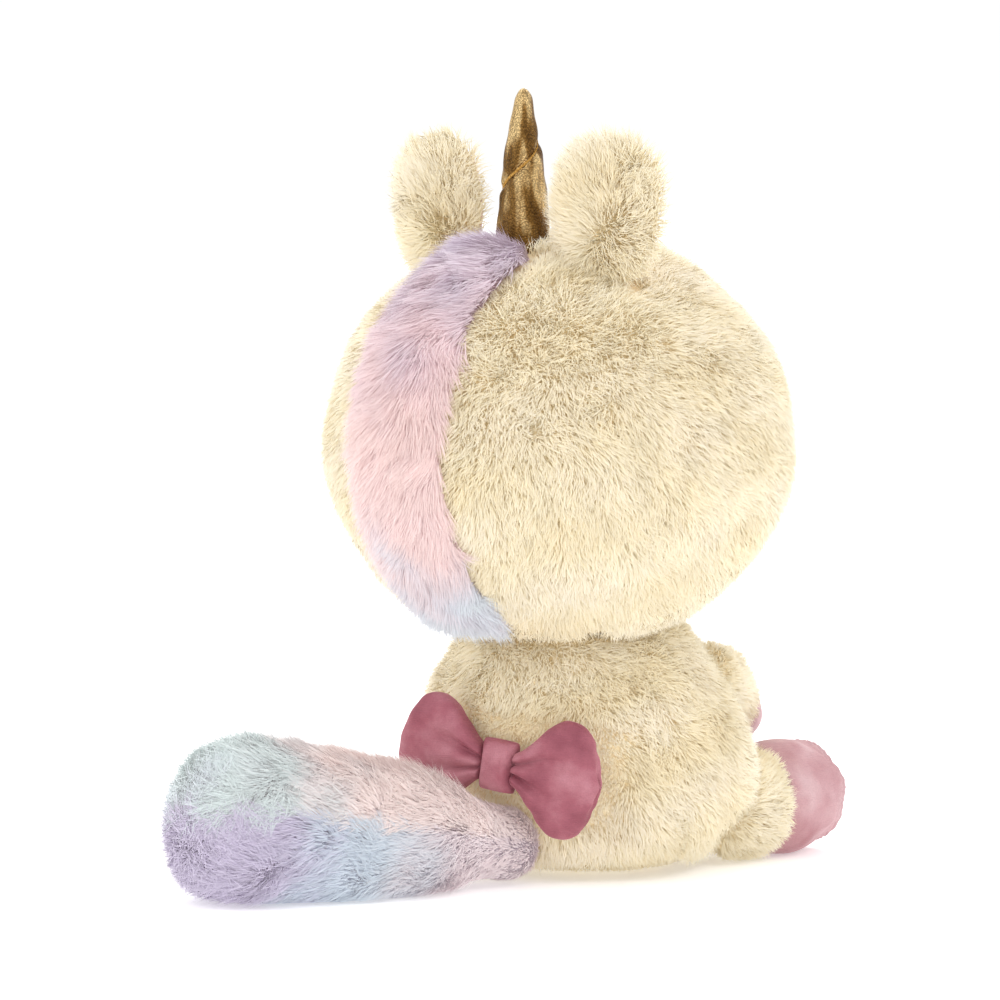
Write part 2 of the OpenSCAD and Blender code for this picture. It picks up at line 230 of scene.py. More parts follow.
def skin_data(objs):
    """World points, normals and triangles of pieces, in millimetres."""
    points, normals, tris, start = [], [], [], 0
    for o in objs:
        me = o.data
        me.calc_loop_triangles()
        co = np.empty(len(me.vertices) * 3)
        me.vertices.foreach_get("co", co)
        no = np.empty(len(me.vertices) * 3)
        me.vertex_normals.foreach_get("vector", no)
        tr = np.empty(len(me.loop_triangles) * 3, np.int32)
        me.loop_triangles.foreach_get("vertices", tr)
        points.append(co.reshape(-1, 3) / MM)
        normals.append(no.reshape(-1, 3))
        tris.append(tr.reshape(-1, 3) + start)
        start += len(me.vertices)
    return np.vstack(points), np.vstack(normals), np.vstack(tris)


def scatter(objs, per_mm2, rng):
    """Even random points over the pieces, with their smooth normals."""
    co, no, tri = skin_data(objs)
    a, b, c = co[tri[:, 0]], co[tri[:, 1]], co[tri[:, 2]]
    area = np.linalg.norm(np.cross(b - a, c - a), axis=1) / 2
    count = int(area.sum() * per_mm2 * PILE_SHARE)
    which = np.searchsorted(np.cumsum(area) / area.sum(), rng.random(count)).clip(0, len(tri) - 1)
    r1, r2 = np.sqrt(rng.random(count))[:, None], rng.random(count)[:, None]
    w = (1 - r1, r1 * (1 - r2), r1 * r2)
    p = sum(wi * co[tri[which, i]] for i, wi in enumerate(w))
    n = unit(sum(wi * no[tri[which, i]] for i, wi in enumerate(w)))
    return p, n


def blade_mesh(name, root, mid, tip, half, shade, u, level, material):
    """One mesh of many blades: each is a quad from root to middle and a triangle to the tip."""
    n = len(root)
    verts = np.stack([root - half, root + half, mid + half * 0.85, mid - half * 0.85, tip], axis=1)
    verts[:, :, 2] = np.maximum(verts[:, :, 2], FLOOR_CLEAR)
    across, up = verts[:, 1] - verts[:, 0], tip - root
    own = unit(np.cross(across, up))
    normals = unit(shade * 0.8 + own * 0.2)
    me = bpy.data.meshes.new(name)
    me.vertices.add(n * 5)
    me.vertices.foreach_set("co", (verts * MM).astype(np.float32).ravel())
    corners = (np.array([0, 1, 2, 3, 3, 2, 4]) + 5 * np.arange(n)[:, None]).astype(np.int32)
    me.loops.add(n * 7)
    me.loops.foreach_set("vertex_index", corners.ravel())
    me.polygons.add(n * 2)
    starts = (np.array([0, 4]) + 7 * np.arange(n)[:, None]).astype(np.int32)
    me.polygons.foreach_set("loop_start", starts.ravel())
    me.update(calc_edges=True)
    me.polygons.foreach_set("use_smooth", np.ones(n * 2, bool))
    uv = me.uv_layers.new(name=PILE_UV)
    side = np.array([-1, 1, 0.85, -0.85, -0.85, 0.85, 0]) * 0.0015
    rise = np.array([0.08, 0.08, 0.5, 0.5, 0.5, 0.5, 0.92])
    uu = np.clip(u, 0.01, 0.99)[:, None] + side
    vv = (np.floor(level * LEVELS).clip(0, LEVELS - 1)[:, None] + rise) / LEVELS
    uv.data.foreach_set("uv", np.stack([uu, vv], axis=2).astype(np.float32).ravel())
    me.normals_split_custom_set_from_vertices(np.repeat(normals, 5, axis=0).tolist())
    me.materials.append(material)
    obj = bpy.data.objects.new(name, me)
    bpy.context.scene.collection.objects.link(obj)
    return obj


def grow(name, objs, material, seed, per_mm2, length, comb, lean=42, width=0.42, tuft=3.6,
         gather=0.45, stray=0.8, keep=None, hue=None):
    """Pile over the pieces `objs`. comb gives the nap's direction, keep each blade's share of the length
    (under 0.12 it is left out), and hue its place in the material's colours."""
    rng = np.random.default_rng(seed)
    p, n = scatter(objs, per_mm2, rng)
    size = np.ones(len(p)) if keep is None else keep(p, n)
    p, n, size = p[size > 0.12], n[size > 0.12], size[size > 0.12]
    count = len(p)
    nap = comb(p, n)
    nap = nap - n * (nap * n).sum(axis=1, keepdims=True)
    loose = rng.normal(size=(count, 3))
    loose = unit(loose - n * (loose * n).sum(axis=1, keepdims=True))
    swirl = np.column_stack([waves(p, 17, seed + i) for i in (1, 2, 3)])
    swirl = swirl - n * (swirl * n).sum(axis=1, keepdims=True)
    lie = unit(nap + swirl * 0.13 + loose * stray)
    a = np.radians(np.clip(lean + rng.normal(size=count) * 10 + waves(p, 9, seed + 4) * 4, 4, 82))[:, None]
    long = (length * size * rng.uniform(0.78, 1.15, count))[:, None]
    mid = p + (n * np.cos(a * 0.6) + lie * np.sin(a * 0.6)) * long * 0.52
    tip = mid + (n * np.cos(a * 1.25) + lie * np.sin(a * 1.25)) * long * 0.5
    centre, own = tufts(p, tuft, seed)
    centre = centre - n * ((centre - p) * n).sum(axis=1, keepdims=True)
    a0 = math.radians(lean)
    lead = unit(nap + swirl * 0.3 + (scramble(np.floor(centre / tuft * 8), seed) - 0.5) * 1.2)
    lead = unit(lead - n * (lead * n).sum(axis=1, keepdims=True))
    peak = centre + (n * math.cos(a0) + lead * math.sin(a0)) * long
    pull = gather * rng.uniform(0.4, 1.15, count)[:, None]
    tip = tip + (peak - tip) * pull
    mid = mid + ((centre + peak) / 2 - mid) * pull * 0.35
    face = unit(np.cross(tip - p, n))
    roll = np.radians(rng.uniform(-38, 38, count))[:, None]
    g = unit(tip - p)
    half = (face * np.cos(roll) + np.cross(g, face) * np.sin(roll)) * width / 2
    level = 0.5 + 0.22 * waves(p, 11, seed + 5) + 0.35 * (own - 0.5) + rng.normal(size=count) * 0.16
    level = np.clip(level, 0, 0.999)
    u = hue(p, rng) if hue is not None else rng.random(count)
    return blade_mesh(name, p - n * 0.3, mid, tip, half, n, u, level, material)


# ---------------------------------------------------------------- materials
def srgb(r, g, b):
    """Scene colour of a screen colour given from 0 to 255."""
    return tuple(
        ((v / 255 + 0.055) / 1.055) ** 2.4 if v > 10 else v / 255 / 12.92 for v in (r, g, b)
    ) + (1.0,)


class Nodes:
    """A material whose node tree ends in a Principled shader."""

    def __init__(self, name, roughness, **sockets):
        self.material = bpy.data.materials.new(name)
        self.material.use_nodes = True
        self.tree = self.material.node_tree
        self.tree.nodes.clear()
        self.shader = self.add("ShaderNodeBsdfPrincipled")
        out = self.add("ShaderNodeOutputMaterial")
        self.link(self.shader, "BSDF", out, "Surface")
        self.shader.inputs["Roughness"].default_value = roughness
        for key, value in sockets.items():
            self.shader.inputs[key.replace("_", " ")].default_value = value

    def add(self, kind, **values):
        node = self.tree.nodes.new(kind)
        for key, value in values.items():
            if hasattr(node, key):
                setattr(node, key, value)
            else:
                node.inputs[key.replace("_", " ")].default_value = value
        return node

    def link(self, a, out, b, into):
        self.tree.links.new(a.outputs[out], b.inputs[into])

    def maths(self, operation, a, b):
        node = self.add("ShaderNodeMath", operation=operation)
        for i, v in enumerate((a, b)):
            if isinstance(v, (int, float)):
                node.inputs[i].default_value = v
            elif v is not None:
                self.tree.links.new(v, node.inputs[i])
        return node.outputs[0]

    def ramp(self, factor, stops):
        node = self.add("ShaderNodeValToRGB")
        elements = node.color_ramp.elements
        while len(elements) < len(stops):
            elements.new(0.5)
        for e, (at, colour) in zip(elements, stops):
            e.position, e.color = at, colour
        self.tree.links.new(factor, node.inputs["Fac"])
        return node.outputs["Color"]

    def times(self, a, b, share=1.0):
        node = self.add("ShaderNodeMix", data_type="RGBA", blend_type="MULTIPLY")
        node.inputs["Factor"].default_value = share
        self.tree.links.new(a, node.inputs[6])
        self.tree.links.new(b, node.inputs[7])
        return node.outputs[2]

    def base(self, colour):
        self.tree.links.new(colour, self.shader.inputs["Base Color"])

    def bump(self, height, distance, strength=1.0):
        node = self.add("ShaderNodeBump")
        node.inputs["Strength"].default_value = strength
        node.inputs["Distance"].default_value = distance
        self.tree.links.new(height, node.inputs["Height"])
        self.link(node, "Normal", self.shader, "Normal")

    def noise(self, scale, detail=3.0):
        coords = self.add("ShaderNodeTexCoord")
        node = self.add("ShaderNodeTexNoise")
        node.inputs["Scale"].default_value = scale
        node.inputs["Detail"].default_value = detail
        self.link(coords, "Object", node, "Vector")
        return node.outputs["Fac"]


def grey(v):
    return (v, v, v, 1.0)


def pile(name, stops, root, middle, glow):
    """Pile: colour runs with u, and v holds the blade's shade level and the way from root to tip. Each blade
    is
    darker towards its root: painted shade of the gaps between the blades. A little glow stands for the light
    that passes through the thin fibres."""
    m = Nodes(name, 0.92, Specular_IOR_Level=0.18, Sheen_Weight=0.25, Sheen_Roughness=0.6)
    uv = m.add("ShaderNodeUVMap", uv_map=PILE_UV)
    split = m.add("ShaderNodeSeparateXYZ")
    m.link(uv, "UV", split, "Vector")
    step = m.maths("MULTIPLY", split.outputs["Y"], LEVELS)
    along = m.maths("FRACT", step, None)
    level = m.maths("DIVIDE", m.maths("FLOOR", step, None), LEVELS)
    m.shader.inputs["Emission Color"].default_value = glow
    m.shader.inputs["Emission Strength"].default_value = GLOW
    colour = m.ramp(split.outputs["X"], stops)
    # the blade darkens towards its root: painted shade of the gaps between the blades
    colour = m.times(colour, m.ramp(along, [(0.05, root), (0.5, middle), (0.85, grey(1.0))]))
    colour = m.times(colour, m.ramp(level, [(0.0, grey(0.93)), (0.75, grey(1.0))]))
    m.base(colour)
    return m.material


def backing(name, light, deep):
    """Knitted backing cloth that shows between the blades. Its deeper, warmer tone is partly the cloth's own
    colour and partly painted shade of the gaps between the blades.
    """
    m = Nodes(name, 0.95, Specular_IOR_Level=0.1)
    m.base(m.ramp(m.noise(260), [(0.35, deep), (0.65, light)]))
    m.bump(m.noise(1400), 0.0004)
    return m.material


def velvet(name, dark, plain, light):
    """Short velvet: crushed patches, fine ribs and a soft sheen."""
    m = Nodes(name, 0.62, Specular_IOR_Level=0.25, Sheen_Weight=0.8, Sheen_Roughness=0.3)
    m.shader.inputs["Sheen Tint"].default_value = light
    patches = m.noise(75, 5.0)
    fine = m.noise(2600, 2.0)
    colour = m.ramp(patches, [(0.28, dark), (0.5, plain), (0.75, light)])
    colour = m.times(colour, m.ramp(fine, [(0.3, grey(0.88)), (0.62, grey(1.0))]))
    m.base(colour)
    coords = m.add("ShaderNodeTexCoord")
    ribs = m.add("ShaderNodeTexWave", wave_type="BANDS", bands_direction="Z")
    ribs.inputs["Scale"].default_value = 520
    ribs.inputs["Distortion"].default_value = 0.6
    ribs.inputs["Detail"].default_value = 2.0
    m.link(coords, "Object", ribs, "Vector")
    m.bump(m.maths("ADD", m.maths("MULTIPLY", ribs.outputs["Fac"], 0.5), fine), 0.00012, 0.7)
    return m.material


def cloth(name, light, deep, scale=900):
    m = Nodes(name, 0.9, Specular_IOR_Level=0.15)
    m.base(m.ramp(m.noise(scale), [(0.35, deep), (0.65, light)]))
    m.bump(m.noise(scale * 2), 0.0003)
    return m.material


CREAM = [(0.0, srgb(243, 232, 204)), (0.5, srgb(245, 237, 215)), (1.0, srgb(248, 241, 226))]
cream_pile = pile("cream_pile", CREAM, srgb(253, 239, 210), srgb(255, 250, 236), srgb(252, 236, 200))
mane_pile = pile(
    "mane_pile",
    [(0.0, srgb(226, 219, 234)), (0.14, srgb(226, 216, 226)), (0.34, srgb(238, 217, 219)),
     (0.5, srgb(247, 225, 219)), (0.68, srgb(244, 222, 218)), (0.78, srgb(230, 224, 228)),
     (0.88, srgb(220, 229, 236)), (1.0, srgb(218, 232, 234))],
    srgb(244, 226, 229), srgb(252, 247, 249), srgb(232, 206, 212))
tail_upper_pile = pile(
    "tail_upper_pile",
    [(0.0, srgb(248, 236, 233)), (0.5, srgb(250, 237, 232)), (0.62, srgb(238, 233, 232)),
     (0.72, srgb(222, 233, 233)), (0.9, srgb(218, 232, 230)), (1.0, srgb(220, 228, 234))],
    srgb(246, 238, 241), srgb(253, 250, 251), srgb(240, 226, 226))
tail_lower_pile = pile(
    "tail_lower_pile",
    [(0.0, srgb(246, 232, 230)), (0.24, srgb(242, 231, 231)), (0.34, srgb(231, 233, 236)),
     (0.46, srgb(220, 232, 238)), (0.58, srgb(217, 229, 237)), (0.68, srgb(215, 213, 229)),
     (0.8, srgb(212, 204, 223)), (1.0, srgb(212, 203, 222))],
    srgb(243, 237, 244), srgb(251, 249, 252), srgb(224, 216, 228))
# the backings are deeper than their pile: partly the cloth's own colour, partly painted shade of the gaps
# between blades
cream_cloth = backing("cream_backing", srgb(251, 238, 206), srgb(244, 222, 178))
# the mane's darker pink backing also gives painted seam shade where it shows along the mane's edges
mane_cloth = backing("mane_backing", srgb(240, 218, 222), srgb(220, 190, 192))
tail_cloth = backing("tail_backing", srgb(243, 234, 240), srgb(228, 216, 226))
bow_velvet = velvet("bow_velvet", srgb(136, 70, 84), srgb(166, 96, 109), srgb(198, 138, 148))
hoof_velvet = velvet("hoof_velvet", srgb(178, 126, 132), srgb(199, 156, 161), srgb(218, 188, 191))
filling_cloth = cloth("filling_fibre", srgb(244, 243, 240), srgb(224, 222, 216), 500)
pouch_cloth = cloth("pouch_cloth", srgb(226, 222, 212), srgb(200, 194, 182))
embroidery = cloth("embroidery", srgb(206, 128, 138), srgb(170, 92, 104), 2600)


def lame_material():
    """Gold metallic cloth: a fine weave of small facets, lengthwise streaks of dark brown and bright gold
    painted into the colour as painted highlights and reflections, and a worn, uneven gloss.
    """
    m = Nodes("horn_lame", 0.3, Metallic=1.0)
    coords = m.add("ShaderNodeTexCoord")
    weave = m.add("ShaderNodeTexVoronoi")
    weave.inputs["Scale"].default_value = 1900
    m.link(coords, "Object", weave, "Vector")
    # lengthwise streaks of dark brown and bright gold: painted highlights and painted reflections of the
    # metallic cloth
    stretch = m.add("ShaderNodeMapping")
    stretch.inputs["Scale"].default_value = (1, 1, 0.22)
    m.link(coords, "Object", stretch, "Vector")
    highlight_streaks = m.add("ShaderNodeTexNoise")
    highlight_streaks.inputs["Scale"].default_value = 210
    highlight_streaks.inputs["Detail"].default_value = 2.0
    m.link(stretch, "Vector", highlight_streaks, "Vector")
    painted_highlight_tone = m.ramp(highlight_streaks.outputs["Fac"], [(0.36, srgb(112, 80, 40)), (0.48, srgb(150, 112, 60)),
                                           (0.6, srgb(242, 208, 148))])
    # each facet is brighter in its middle and darker at its edge: partly the weave's own darker threads,
    # partly painted glints and painted shade between the facets
    m.base(m.times(painted_highlight_tone, m.ramp(weave.outputs["Distance"], [(0.25, grey(1.0)), (0.6, grey(0.5))])))
    rough = m.add("ShaderNodeMapRange")
    rough.inputs["To Min"].default_value = 0.22
    rough.inputs["To Max"].default_value = 0.5
    m.tree.links.new(m.noise(420), rough.inputs["Value"])
    m.link(rough, "Result", m.shader, "Roughness")
    m.bump(weave.outputs["Distance"], 0.00035, 1.0)
    return m.material


def gloss_material():
    m = Nodes("eye_gloss", 0.06, Coat_Weight=0.6, Coat_Roughness=0.03)
    m.base(m.ramp(m.noise(300), [(0.4, srgb(16, 12, 14)), (0.6, srgb(30, 22, 26))]))
    return m.material


horn_lame = lame_material()
eye_gloss = gloss_material()
horn_stitch = cloth("horn_stitch", srgb(214, 166, 88), srgb(150, 106, 44), 2400)


def finished(obj, body, nodes=()):
    """Attaches a piece to its body and hides the CAD nodes that it stands for."""
    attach(obj, body)
    if nodes:
        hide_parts(*nodes)
    return obj


# ---------------------------------------------------------------- head
MANE_HALF = 13.0
MANE_TOP, MANE_END = 21.0, 148.0     # degrees from the crown, over the back


def head_surface(theta, x, rise=0.0):
    """Point on the head at x from its middle plane, theta degrees from the crown toward the nape."""
    a, b, c = HEAD_SKIN + rise
    t, k = np.radians(theta), np.sqrt(np.maximum(1 - (x / a) ** 2, 0))
    return np.stack([x + 0 * t, b * k * np.sin(t), c * k * np.cos(t)], axis=-1)


def lumps(p, size, amount, seed):
    return amount * waves(p, size, seed)


def head_cover():
    rows = []
    for polar in np.linspace(0, math.pi, 65):
        c = ring(1, 1, 128) * math.sin(polar)
        p = np.column_stack([c, np.full(len(c), math.cos(polar))])
        rows.append(p * (HEAD_SKIN + lumps(p * 60, 42, 0.5, 31)[:, None]))
    verts, faces = loft(rows[::-1])
    return add_mesh("head_cover", verts, faces, HEAD, cream_cloth)


MUZZLE_AT, MUZZLE_R = np.array([0, -50.0, -20.0]), np.array([25.0, 27.0, 19.0]) - 2.6
NOSTRIL_X, NOSTRIL_Z = 8.0, -15.0
EYE_X, EYE_Z = 29.0, -3.0
EYE_YAW = math.degrees(math.asin(EYE_X / HEAD_R))
EYE_OUT = HEAD_R * math.sqrt(1 - (EYE_Z / HEAD_H) ** 2)


def muzzle_cover():
    rows = []
    for polar in np.linspace(0, math.pi, 33):
        c = ring(1, 1, 64) * math.sin(polar)
        p = np.column_stack([c, np.full(len(c), math.cos(polar))])
        rows.append(p * MUZZLE_R + MUZZLE_AT)
    verts, faces = loft(rows[::-1])
    return add_mesh("muzzle_cover", verts, faces, HEAD, cream_cloth)


def eye_centre(side):
    return (spin("z", EYE_YAW * side) @ np.array([0, -EYE_OUT, 0])) + [0, 0, EYE_Z]


def downward(p, n):
    """The nap of the body and head lies downward, and forward over the crown."""
    return np.tile([0.0, -0.45, -0.85], (len(p), 1))


def head_keep(p, n):
    """Pile stops under the mane, muzzle, ears and horn, and is short by the mane's seams and the eyes."""
    q = HEAD.into(p)
    theta = np.degrees(np.arctan2(q[:, 1], q[:, 2]))
    size = np.ones(len(q))
    strip = (theta > MANE_TOP) & (theta < MANE_END)
    edge = np.abs(q[:, 0]) - MANE_HALF
    size = np.where(strip, size * (0.5 + 0.5 * smooth(edge, 0, 4.5)), size)
    size[strip & (edge < -0.5)] = 0
    inside = (((q - MUZZLE_AT) / MUZZLE_R) ** 2).sum(axis=1)
    size[inside < 1] = 0
    for side in (1, -1):
        away = np.linalg.norm(q - eye_centre(side), axis=1)
        size *= 0.3 + 0.7 * smooth(away, 7.5, 13)
        size[away < 6.2] = 0
        ear = EARS[side].into(p)
        size[(np.abs(ear[:, 0]) < 11) & (np.abs(ear[:, 1]) < 4)] = 0
    horn = HORN.into(p)
    size[np.hypot(horn[:, 0], horn[:, 1]) < 7.5] = 0
    return size


def side_of_head(which):
    """Left, right, forehead or chin share of the head's pile."""
    def keep(p, n):
        q = HEAD.into(p)
        size = head_keep(p, n)
        wide = np.abs(q[:, 0]) > MANE_HALF
        back = q[:, 1] > 0
        low = q[:, 2] < -0.7 * HEAD_H
        panel = wide | (back & low)
        if which in ("left", "right"):
            mine = panel & ((q[:, 0] >= 0) == (which == "left"))
        else:
            mine = ~panel & ((q[:, 2] > MUZZLE_AT[2]) == (which == "gusset"))
        # the torso covers the head's underside
        size[q[:, 2] < -HEAD_H * 0.86] = 0
        return np.where(mine, size, 0)
    return keep


def cream_hue(p, rng):
    return np.clip(0.55 + 0.2 * waves(p, 26, 91) + rng.normal(size=len(p)) * 0.16, 0, 1)


CREAM_PILE = dict(per_mm2=4.2, length=5.8, comb=downward, hue=cream_hue, width=0.3,
                  lean=50, tuft=2.8, gather=0.34, stray=0.62)


def build_head():
    cover = head_cover()
    finished(cover, "head", ["head_stuffing"])
    for k, (panel, node) in enumerate((("left", "head_side_left"), ("right", "head_side_right"),
                                       ("gusset", "head_gusset"), ("chin", "chin_panel"))):
        fur = grow(f"head_pile_{panel}", [cover], cream_pile, 100 + k, keep=side_of_head(panel), **CREAM_PILE)
        finished(fur, "head", [node])
    snout = muzzle_cover()
    finished(snout, "head", ())

    def snout_keep(p, n):
        q = HEAD.into(p)
        size = np.full(len(q), 1.0)
        size[((q / HEAD_SKIN) ** 2).sum(axis=1) < 1] = 0
        for at in mark_points():
            size *= 0.25 + 0.75 * smooth(np.linalg.norm(q - at, axis=1), 1.5, 4.5)
        return size

    fur = grow("muzzle_pile", [snout], cream_pile, 120, per_mm2=3.0, length=3.6, comb=downward,
               width=0.34, tuft=2.2, gather=0.35, keep=snout_keep, hue=cream_hue)
    finished(fur, "head", ["muzzle"])


def muzzle_front(x, z, out=0.0):
    r = MUZZLE_R + out
    k = 1 - (x / r[0]) ** 2 - ((z - MUZZLE_AT[2]) / r[2]) ** 2
    return MUZZLE_AT[1] - r[1] * math.sqrt(max(k, 0.0))


def mouth_path():
    a = np.radians(np.linspace(215, 325, 25))
    x, z = 8.0 * np.cos(a), -18 + 8.0 * np.sin(a)
    return np.array([[xi, muzzle_front(xi, zi, 1.9), zi] for xi, zi in zip(x, z)])


def mark_points():
    path = mouth_path()
    front = muzzle_front(NOSTRIL_X, NOSTRIL_Z, 1.5)
    return [np.array([s * NOSTRIL_X, front, NOSTRIL_Z]) for s in (1, -1)] + list(path[::4])


def satin_tube(name, path, radius, stitch, place, material):
    """A raised row of satin stitches along a path."""
    rows, m = [], 16
    tangent = unit(np.gradient(path, axis=0))
    steps = np.concatenate([[0], np.cumsum(np.linalg.norm(np.diff(path, axis=0), axis=1))])
    total = steps[-1]
    fine = np.linspace(0, total, max(int(total / stitch * 4), 12))
    pts = np.column_stack([np.interp(fine, steps, path[:, i]) for i in range(3)])
    tan = unit(np.column_stack([np.interp(fine, steps, tangent[:, i]) for i in range(3)]))
    for s, p, t in zip(fine, pts, tan):
        a = unit(np.cross(t, [0.0, -1.0, 0.01]))
        b = np.cross(t, a)
        end = math.sqrt(max(1 - (2 * s / total - 1) ** 4, 0.02))
        r = radius * end * (1 - 0.12 * (0.5 + 0.5 * math.cos(2 * math.pi * s / stitch)))
        ang = np.linspace(0, 2 * math.pi, m, endpoint=False)
        rows.append(p + r * (np.cos(ang)[:, None] * a * 1.25 + np.sin(ang)[:, None] * b * 0.8))
    verts, faces = loft(rows)
    return add_mesh(name, verts, faces, place, material)


def build_face():
    for name, side in SIDES:
        rows, m = [], 48
        for t in np.linspace(0, 1, 15):
            a = math.radians(8 + 82 * t)
            rows.append((6.7 * math.sin(a), 5.0 * math.cos(a)))
        rows = [(0.0, 5.0)] + rows[1:] + [(6.75, -0.5), (6.2, -1.4), (0.0, -1.4)]
        loops = [np.column_stack([ring(r, r, m), np.full(m, z)]) for r, z in rows]
        turn = spin("z", EYE_YAW * side) @ spin("x", 90)
        local = Place([0, 0, 0], turn)
        origin = turn @ np.array([0, 0, EYE_OUT - 2.6]) + [0, 0, EYE_Z]
        verts, faces = loft(loops[::-1])
        verts = local.out(np.array(verts)) + origin
        eye = add_mesh(f"eye_dome_{name}", verts, faces, HEAD, eye_gloss)
        finished(eye, "head", [f"eye_{name}"])
        path = []
        for d in np.linspace(-2.3, 2.3, 9):
            x, z = side * NOSTRIL_X + d, NOSTRIL_Z + 0.18 * side * d
            path.append([x, muzzle_front(x, z, 1.2), z])
        path = np.array(path)
        mark = satin_tube(f"nostril_stitch_{name}", path, 1.5, 0.5, HEAD, embroidery)
        finished(mark, "head", [f"nostril_{name}"])
    smile = satin_tube("mouth_stitch", mouth_path(), 0.85, 0.55, HEAD, embroidery)
    finished(smile, "head", ["mouth"])


# ---------------------------------------------------------------- mane
def mane_edge(theta):
    """Half width of the mane, which narrows toward both ends."""
    t = (theta - MANE_TOP) / (MANE_END - MANE_TOP)
    return MANE_HALF * (0.80 + 0.22 * smooth(t, 0, 0.25) - 0.25 * smooth(t, 0.72, 1.0))


def build_mane():
    theta = np.linspace(MANE_TOP, MANE_END, 90)
    across = np.linspace(-1, 1, 25)
    grid = np.empty((len(theta), len(across), 3))
    for i, t in enumerate(theta):
        w = mane_edge(t)
        x = across * w
        end = min(1.0, (t - MANE_TOP) / 6, (MANE_END - t) / 6)
        rise = (0.2 + 2.6 * (1 - across ** 4)) * max(end, 0) - 0.3
        for j, (xx, rr) in enumerate(zip(x, rise)):
            grid[i, j] = head_surface(t, xx, rr)
    verts, faces = sheet_grid(grid)
    cover = add_mesh("mane_cover", verts, faces, HEAD, mane_cloth)
    finished(cover, "head")

    def comb(p, n):
        q = HEAD.into(p)
        down = np.column_stack([0 * q[:, 0], q[:, 2] * 1.1, -q[:, 1]])
        out = np.column_stack([0.42 + 0.45 * q[:, 0] / MANE_HALF, 0 * q[:, 0], 0 * q[:, 0]])
        return HEAD.along(unit(down) * 0.95 + out)

    def hue(p, rng):
        q = HEAD.into(p)
        theta = np.degrees(np.arctan2(q[:, 1], q[:, 2])) % 360
        t = (theta - MANE_TOP) / (MANE_END - MANE_TOP)
        return np.clip(t + 0.035 * waves(p, 14, 51) + rng.normal(size=len(p)) * 0.02, 0, 1)

    fur = grow("mane_pile_long", [cover], mane_pile, 200, per_mm2=12.0, length=10.5, comb=comb, lean=57,
               width=0.28, tuft=6.0, gather=0.45, stray=0.35, hue=hue)
    finished(fur, "head", ["mane"])


# ---------------------------------------------------------------- ears
EAR_MID = 16.5


def ear_outline(a):
    """Distance from the ear's middle to its edge: a flat-topped oval that narrows to its fold."""
    c, s = np.abs(np.cos(a)), np.sin(a)
    up = (c / 16.0) ** 2.6 + (np.abs(s) / 18.0) ** 2.6
    down = (c / 16.0) ** 1.9 + (np.abs(s) / 21.5) ** 1.9
    return np.where(s > 0, up ** (-1 / 2.6), down ** (-1 / 1.9))


def ear_sheet(depth, hollow, puffy):
    """A disc-like sheet: rows of growing rings from the middle to the edge."""
    m, rows = 72, []
    a = np.linspace(0, 2 * math.pi, m, endpoint=False)
    for r in np.linspace(0, 1, 17):
        edge = ear_outline(a) * r
        x, z = edge * np.cos(a), EAR_MID + edge * np.sin(a)
        y = depth * (1 - r ** 2.6) ** 0.6 - hollow * (1 - r ** 2) ** 1.4
        y = y + puffy * np.sin(5 * a) * r ** 3 * (1 - r) * 4
        rows.append(np.column_stack([x, y, z]))
    return rows


def build_ears():
    for name, side in SIDES:
        place = EARS[side]
        rows = ear_sheet(5.0, 0.0, 0.4)
        verts, faces = loft(rows, True, False)
        back = add_mesh(f"ear_back_{name}", verts, faces, place, cream_cloth)
        finished(back, f"ear_{name}", [f"ear_{name}_filling"])
        rows = ear_sheet(-4.6, -2.6, 0.3)
        verts, faces = loft(rows, True, False)
        faces = [tuple(reversed(f)) for f in faces]
        front = add_mesh(f"ear_lining_velvet_{name}", verts, faces, place, hoof_velvet)
        finished(front, f"ear_{name}", [f"ear_{name}_lining"])

        def comb(p, n, place=place):
            q = place.into(p)
            d = np.column_stack([q[:, 0] / 12, 0.25 + 0 * q[:, 0], (q[:, 2] - 6) / 14])
            return place.along(unit(d))

        def keep(p, n, place=place):
            q = place.into(p)
            return smooth(q[:, 2], -4, 3) * 0.5 + 0.5 * (q[:, 2] > -6)

        fur = grow(f"ear_pile_{name}", [back], cream_pile, 300 + side, per_mm2=5.5, length=7.4, comb=comb,
                   width=0.3, lean=46, keep=keep, hue=cream_hue, gather=0.5)
        finished(fur, f"ear_{name}", [f"ear_{name}_back"])


# ---------------------------------------------------------------- horn
HORN_TALL, HORN_R, HORN_TIP = 44.0, 8.0, 1.9
STITCH_FROM, STITCH_TO = 4.0, 38.0
STITCH_PITCH, STITCH_ZERO = 26.4, 12.6


def horn_radius(z):
    """The stuffed cone bulges a little and closes in a blunt tip."""
    t = np.clip(z / HORN_TALL, 0, 1)
    cone = HORN_R - (HORN_R - HORN_TIP) * t + 0.7 * np.sin(np.pi * t)
    close = np.clip((HORN_TALL - z) / 3.2, 0, 1)
    return cone * np.sqrt(close * (2 - close))


def horn_phase(z):
    return 2 * math.pi * (z - STITCH_ZERO) / STITCH_PITCH


